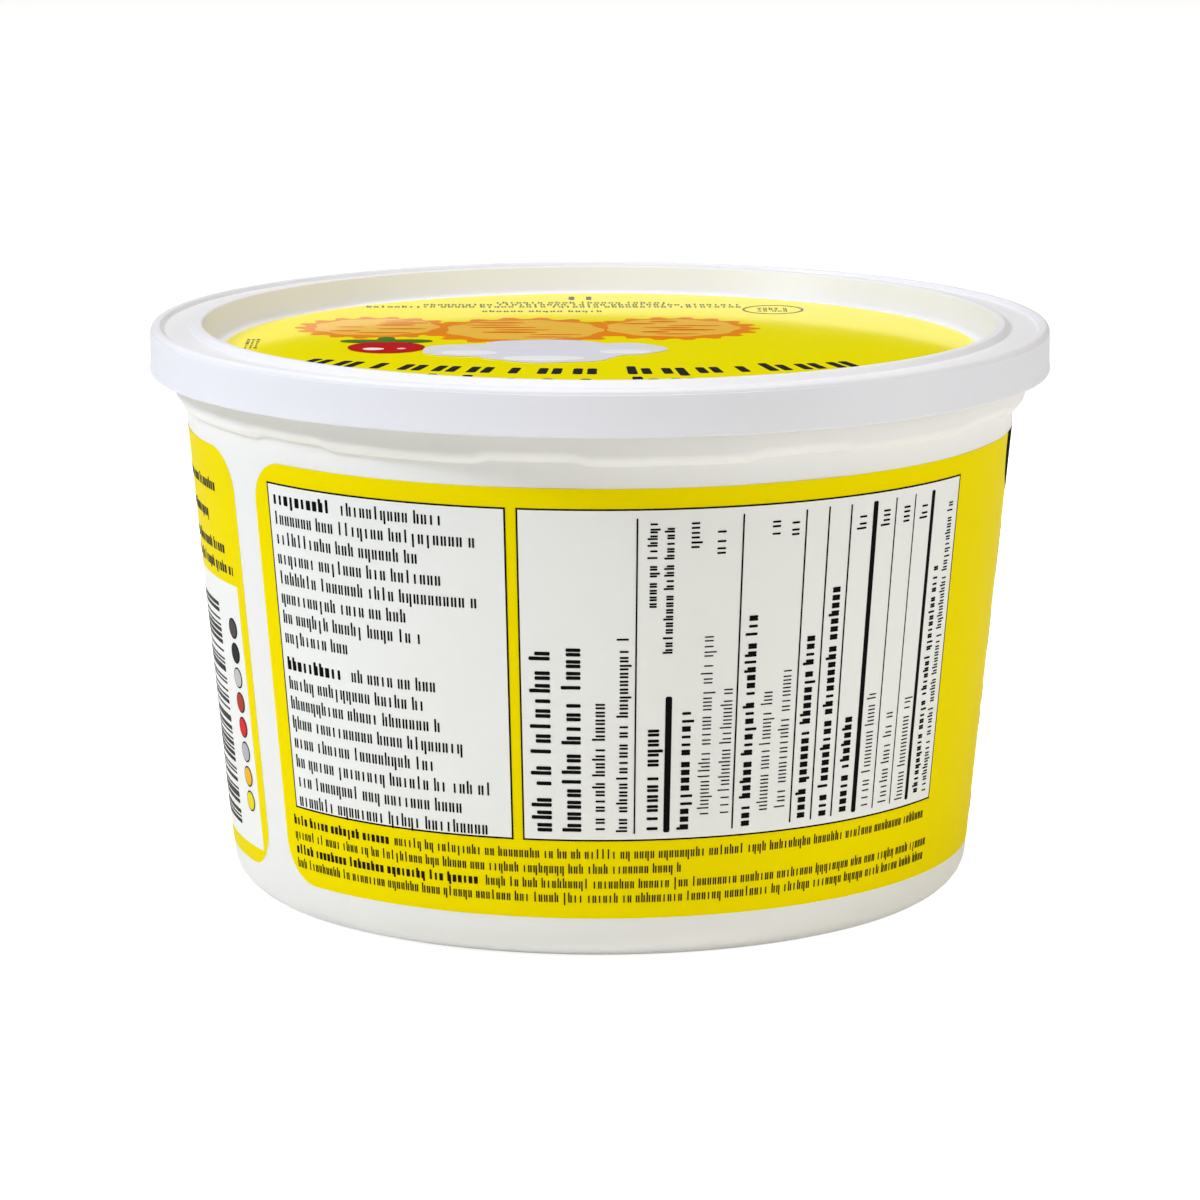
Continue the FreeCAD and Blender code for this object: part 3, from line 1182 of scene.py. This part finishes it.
def art_oval(x, y, wide, deep, layer, base, flutes, bite):
    """An oval field of a picture, in mm. Flutes pinch its edge as a crust is
    pinched, each time by the share that bite gives."""
    under = base + ART_STEP * layer - SUNK
    points = max(OVAL_POINTS, flutes * POINTS_PER_FLUTE)
    oval = flat_disc("oval", 0, 0, 1.0 * MM, under, points)
    if flutes:
        for share in FLUTE_SHARES:
            pick_points(
                oval,
                lambda x, y, z: np.abs(np.cos(np.arctan2(y, x) * flutes / 2)) < share,
            )
            bpy.ops.transform.resize(
                value=(1 - bite, 1 - bite, 1), center_override=(0, 0, 0)
            )
    bpy.ops.mesh.select_all(action="SELECT")
    bpy.ops.transform.resize(value=(wide / 2, deep / 2, 1), center_override=(0, 0, 0))
    bpy.ops.transform.translate(value=(x * MM, y * MM, 0))
    return oval


def wall_art(name, ovals, ink):
    """Ovals of one ink on the wall, each (x, y, width, height, layer, flutes,
    bite), cut in strips so that they bend."""
    fields = []
    for x, y, wide, deep, layer, flutes, bite in ovals:
        oval = art_oval(x, y, wide, deep, layer, FILM, flutes, bite)
        cut_in_strips(oval)
        thicken(oval, INK + SUNK)
        fields.append(oval)
    art = join(name, fields)
    lay_round_wall(art)
    apply_print(art, ink)


# The tart's crust, its filling, then the cream from the lowest turn to the
# peak, each turn a shade with a paler one on it, and a berry with two leaves.
art_x = along_mm(160.5)
wall_art("label_tart_crust", [(art_x, 20.5, 54, 22, 0, 22, 0.05)], crust_ink)
wall_art("label_tart_filling", [(art_x, 22.5, 46, 15.5, 1, 12, 0.02)], crumb_ink)
wall_art(
    "label_cream_shade",
    [
        (art_x, 29.0, 40, 16, 2, 8, 0.03),
        (art_x + 0.5, 37.0, 29, 13.5, 4, 7, 0.03),
        (art_x - 0.5, 44.0, 18, 11, 6, 6, 0.03),
    ],
    cream_shade_ink,
)
wall_art(
    "label_cream",
    [
        (art_x - 1.2, 30.4, 36, 12.5, 3, 7, 0.03),
        (art_x - 0.6, 38.3, 25, 10.2, 5, 6, 0.03),
        (art_x - 1.2, 45.2, 14, 8.0, 7, 5, 0.03),
    ],
    cream_ink,
)
wall_art("label_berry", [(art_x + 1.5, 52.5, 9.5, 10, 8, 0, 0.0)], berry_ink)
wall_art(
    "label_berry_leaves",
    [
        (art_x - 1.0, 57.6, 5.5, 2.2, 9, 0, 0.0),
        (art_x + 4.2, 57.4, 5.5, 2.2, 9, 0, 0.0),
    ],
    leaf_ink,
)

# ---------------------------------------------------------------------------
# The lid's print.
# A round film of the same kind covers the panel to just short of its wall,
# with two arched headings, three tarts, cream and a berry on it. It is
# smoother than the wrap, as it was moulded against a polished plate.
# ---------------------------------------------------------------------------
PANEL_TOP = 87.0 * MM
LID_FILM_RADIUS = 60.9 * MM
LID_FILM_POINTS = 256

# Printed solid under a gloss varnish: sharp reflections, but weak ones.
LID_GLOSS = {"roughness": 0.10, "shine": 0.05}

lid_yellow = print_ink(
    "glossy_yellow_lid_ink", "#FDF000", mottle=0.02, mottle_mm=9.0, **LID_GLOSS
)
lid_charcoal = print_ink(
    "glossy_charcoal_lid_ink", "#2F2D2E", mottle=0.1, **LID_GLOSS
)
lid_crust = print_ink(
    "glossy_crust_lid_ink", "#F9931C", mottle=0.12, mottle_mm=4.0, **LID_GLOSS
)
lid_filling = print_ink(
    "glossy_filling_lid_ink", "#FFC94C", mottle=0.08, mottle_mm=3.0, **LID_GLOSS
)
lid_toast = print_ink(
    "glossy_toasted_lid_ink", "#EC7E1C", mottle=0.2, mottle_mm=2.0, **LID_GLOSS
)
lid_cream = print_ink(
    "glossy_cream_lid_ink", "#EDEDF6", mottle=0.06, mottle_mm=4.0, **LID_GLOSS
)
lid_white = print_ink("glossy_white_lid_ink", "#FDFDFF", mottle=0.03, **LID_GLOSS)
lid_berry = print_ink("glossy_berry_lid_ink", "#CE2226", mottle=0.2, **LID_GLOSS)
lid_leaf = print_ink("glossy_leaf_lid_ink", "#4D8A2C", mottle=0.2, **LID_GLOSS)

lid_film = flat_disc(
    "lid_film_yellow", 0, 0, LID_FILM_RADIUS, PANEL_TOP - SUNK, LID_FILM_POINTS
)
thicken(lid_film, FILM + SUNK)
apply_print(lid_film, lid_yellow)


def lid_art(name, ovals, ink):
    """Ovals of one ink on the lid, each (x, y, width, depth, layer, flutes, bite)."""
    fields = []
    for x, y, wide, deep, layer, flutes, bite in ovals:
        oval = art_oval(x, y, wide, deep, layer, PANEL_TOP + FILM, flutes, bite)
        thicken(oval, INK + SUNK)
        fields.append(oval)
    apply_print(join(name, fields), ink)


# Three tarts in a row, the middle one nearest and on top, with toasted
# streaks on their fillings: (x, y, width, depth, layer). Layers rise by a part
# of one where two fields of one ink cross.
TARTS = (
    (-37.0, 19.5, 27, 25, 0.0),
    (12.0, 18.5, 29, 26, 0.3),
    (-12.5, 16.0, 34, 30, 0.6),
)
CRUST_FLUTES = 18
CRUST_BITE = 0.06
FILLING_WIDE = 0.78
FILLING_DEEP = 0.76
FILLING_BACK = 0.6
FILLING_FLUTES = 9
FILLING_BITE = 0.03
STREAKS = 7
STREAK_SPACING = 0.09
STREAK_SHIFT = 0.2
STREAK_WIDE = (0.16, 0.34)
STREAK_DEEP = (0.9, 1.7)
STREAK_LAYER = 0.02
lid_art(
    "lid_tart_crusts",
    [(*tart, CRUST_FLUTES, CRUST_BITE) for tart in TARTS],
    lid_crust,
)
lid_art(
    "lid_tart_fillings",
    [
        (
            x,
            y + FILLING_BACK,
            wide * FILLING_WIDE,
            deep * FILLING_DEEP,
            layer + 1,
            FILLING_FLUTES,
            FILLING_BITE,
        )
        for x, y, wide, deep, layer in TARTS
    ],
    lid_filling,
)
streaks = []
for x, y, wide, deep, layer in TARTS:
    for n in range(STREAKS):
        streaks.append(
            (
                x + chance.uniform(-STREAK_SHIFT, STREAK_SHIFT) * wide,
                y + FILLING_BACK + (n - STREAKS // 2) * STREAK_SPACING * deep,
                chance.uniform(*STREAK_WIDE) * wide,
                chance.uniform(*STREAK_DEEP),
                layer + 2 + STREAK_LAYER * n,
                0,
                0.0,
            )
        )
lid_art("lid_tart_streaks", streaks, lid_toast)

# A heap of four spoonfuls of cream with three lights on it, and a berry with
# two lights and three leaves.
lid_art(
    "lid_cream",
    [
        (-20, -6.0, 18, 14, 3.0, 5, 0.03),
        (-8, -9.5, 24, 20, 3.2, 7, 0.03),
        (3, -4.5, 16, 13, 3.4, 5, 0.03),
        (-9, 0.5, 20, 10, 3.6, 5, 0.03),
    ],
    lid_cream,
)
lid_art(
    "lid_cream_lights",
    [
        (-21, -8.5, 9, 4.0, 5.0, 0, 0.0),
        (-9, -14.5, 13, 4.5, 5.0, 0, 0.0),
        (4, -7.5, 8, 3.6, 5.0, 0, 0.0),
    ],
    lid_white,
)
lid_art("lid_berry", [(-34.5, -3.0, 12.5, 12, 5.0, 0, 0.0)], lid_berry)
lid_art(
    "lid_berry_lights",
    [
        (-36.5, -5.0, 3.4, 2.4, 6.0, 0, 0.0),
        (-32.0, -4.6, 1.4, 1.0, 6.0, 0, 0.0),
    ],
    lid_white,
)
lid_art(
    "lid_berry_leaves",
    [
        (-38.5, 3.8, 7.5, 3.0, 6.0, 0, 0.0),
        (-31.0, 4.0, 7.5, 3.0, 6.2, 0, 0.0),
        (-34.8, 5.2, 3.0, 6.0, 6.4, 0, 0.0),
    ],
    lid_leaf,
)


# Two arched headings run in front of the picture, small lines behind it and
# up the left side, two plain bars at the back, and a ring with three short
# lines in it. Each line is (base, start, end), in mm from the panel's middle.
ARCH_CENTRE = 78 * MM
ARCH_RADIUS = 102 * MM
ARCH_TYPE = (8.0, 5.3, 1.45, (7, 9))
ARCH_LINES = ((-6.8, -47, 46), (-17.5, -36, 40))
BACK_TYPE = (1.9, 1.2, 0.34, (4, 10))
BACK_LINES = (
    (48.3, -18, 12.7),
    (45.9, -30.2, 24.4),
    (43.4, -39.8, 24.6),
    (38.0, -20, 0.9),
)
SIDE_TYPE = (1.3, 0.8, 0.3, (3, 4))
SIDE_LINES = [(base, -57.6, -55.0) for base in (-3.4, -1.2, 1.0, 3.2, 5.4)]
RING_TYPE = (1.2, 0.95, 0.28, (2, 4))
RING_LINES = [(base, 26.6, 32.4) for base in (38.6, 40.3, 42.0)]
BACK_BARS = [(-5.4, -4.4, 52.8, 56.4), (-2.4, -1.5, 52.8, 56.4)]
RING_PLACE = (29.3 * MM, 40.8 * MM)
RING_RADIUS = 5.2 * MM
RING_LINE = 0.4 * MM
RING_POINTS = 64
LID_INK_UNDER = PANEL_TOP + FILM - SUNK
LID_INK_OVER = PANEL_TOP + FILM + INK


def arch(piece):
    """Bends a flat row of marks, drawn along x, to an arc round a point behind
    it."""
    for v in piece.data.vertices:
        turn = v.co.x / ARCH_RADIUS
        reach = ARCH_RADIUS - v.co.y
        v.co.x = reach * math.sin(turn)
        v.co.y = ARCH_CENTRE - reach * math.cos(turn)
    piece.data.update()


rows = []
for base, start, end in ARCH_LINES:
    line = set_words(start, end, base, *ARCH_TYPE)
    row = stamp_strokes("row", line, LID_INK_UNDER, LID_INK_OVER)
    arch(row)
    rows.append(row)
strokes = []
for lines, size_of_type in (
    (BACK_LINES, BACK_TYPE),
    (SIDE_LINES, SIDE_TYPE),
    (RING_LINES, RING_TYPE),
):
    for base, start, end in lines:
        strokes += set_words(start, end, base, *size_of_type)
rows.append(stamp_strokes("small_rows", strokes, LID_INK_UNDER, LID_INK_OVER))
rows.append(stamp_strokes("back_bars", BACK_BARS, LID_INK_UNDER, LID_INK_OVER))
ring = flat_disc("ring", *RING_PLACE, RING_RADIUS, LID_INK_UNDER, RING_POINTS)
bpy.ops.mesh.select_all(action="SELECT")
bpy.ops.mesh.inset(thickness=RING_LINE)
bpy.ops.mesh.delete(type="FACE")
thicken(ring, INK + SUNK)
rows.append(ring)
apply_print(join("lid_headings", rows), lid_charcoal)

bpy.data.objects.remove(stroke_shape)
